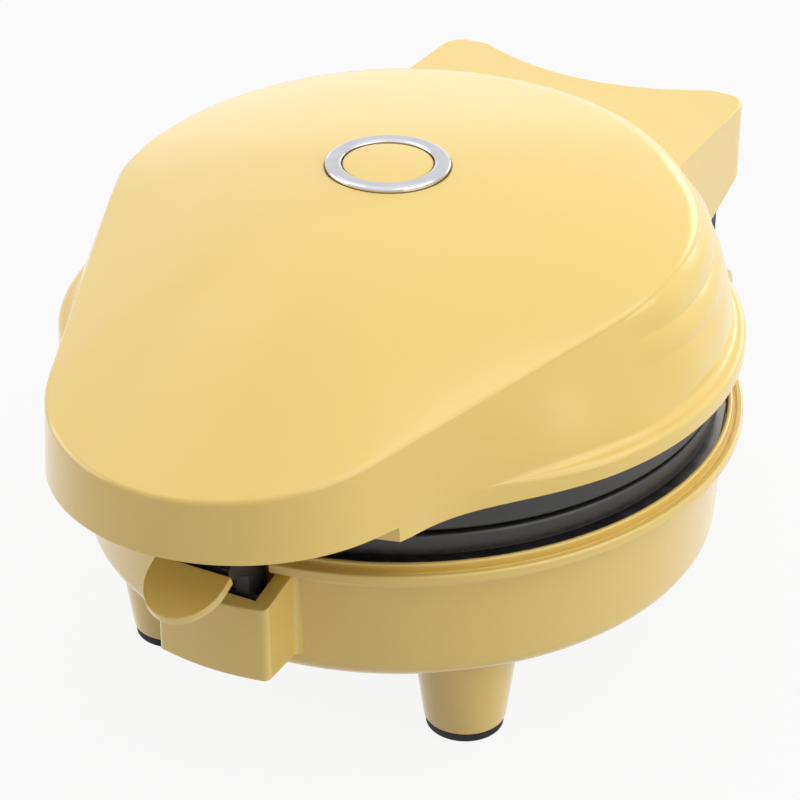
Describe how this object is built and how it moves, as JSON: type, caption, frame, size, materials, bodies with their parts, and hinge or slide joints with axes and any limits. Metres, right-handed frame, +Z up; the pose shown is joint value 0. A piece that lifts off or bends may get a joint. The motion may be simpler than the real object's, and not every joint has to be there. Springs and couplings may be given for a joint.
{
  "type": "multi-grill",
  "caption": "Clamshell table grill with a teardrop lid, ribbed contact plates, a sprung front latch tab and a rear hinge, on cone feet.",
  "frame": {"origin": "on the table, under the centre of the round housing", "axes": "+Y towards the rear hinge, +X to the right seen from the latch side, +Z up"},
  "size_m": [0.151, 0.2144, 0.1102],
  "materials": {
    "butter_plastic": "glossy pale yellow moulded plastic",
    "black_plastic": "satin black moulded plastic",
    "foot_rubber": "matte black rubber",
    "plate_coating": "cast aluminium with a dark grey non-stick coating",
    "shield_sheet": "plain pressed sheet",
    "element_steel": "dull heat-darkened steel tube",
    "screw_steel": "plain zinc-plated steel",
    "ring_chrome": "polished chrome",
    "ceramic": "unglazed off-white ceramic",
    "lead_cover": "braided glass-fibre sleeve"
  },
  "bodies": {
    "base": {"base_housing": "butter_plastic", "foot_pad_front_left": "foot_rubber", "foot_pad_front_right": "foot_rubber", "foot_pad_rear_left": "foot_rubber", "foot_pad_rear_right": "foot_rubber", "cord_gland": "black_plastic", "lower_heat_shield": "shield_sheet", "lower_plate": "plate_coating", "lower_element": "element_steel", "base_screw_1": "screw_steel", "base_screw_2": "screw_steel", "base_screw_3": "screw_steel", "base_screw_4": "screw_steel", "thermostat": "shield_sheet", "thermal_fuse": "element_steel", "terminal_block": "ceramic", "lead_left": "lead_cover", "lead_right": "lead_cover", "hinge_pin_left": "screw_steel", "hinge_pin_right": "screw_steel", "latch_pin": "screw_steel", "latch_spring": "screw_steel"},
    "lid": {"lid_cover": "butter_plastic", "ring_trim": "ring_chrome", "ring_disc": "butter_plastic", "upper_plate": "plate_coating", "upper_element": "element_steel", "upper_heat_shield": "shield_sheet", "plate_screw_1": "screw_steel", "plate_screw_2": "screw_steel", "plate_screw_3": "screw_steel", "plate_screw_4": "screw_steel", "hinge_arm_left": "black_plastic", "hinge_arm_right": "black_plastic", "hinge_screw_1": "screw_steel", "hinge_screw_2": "screw_steel", "hinge_screw_3": "screw_steel", "hinge_screw_4": "screw_steel", "latch_keeper": "black_plastic"},
    "latch": {"latch_lever": "black_plastic", "thumb_tab": "butter_plastic"}
  },
  "joints": [
    {"name": "lid_hinge", "type": "hinge", "parent": "base", "child": "lid", "pos_m": [0, 0.0865, 0.0455], "axis": [-1, 0, 0], "range_deg": [0, 100]},
    {"name": "latch_pivot", "type": "hinge", "parent": "base", "child": "latch", "pos_m": [0, -0.0757, 0.0435], "axis": [1, 0, 0], "range_deg": [0, 10], "stiffness_Nm_per_rad": 0.3, "deforming": ["latch_spring"]}
  ]
}
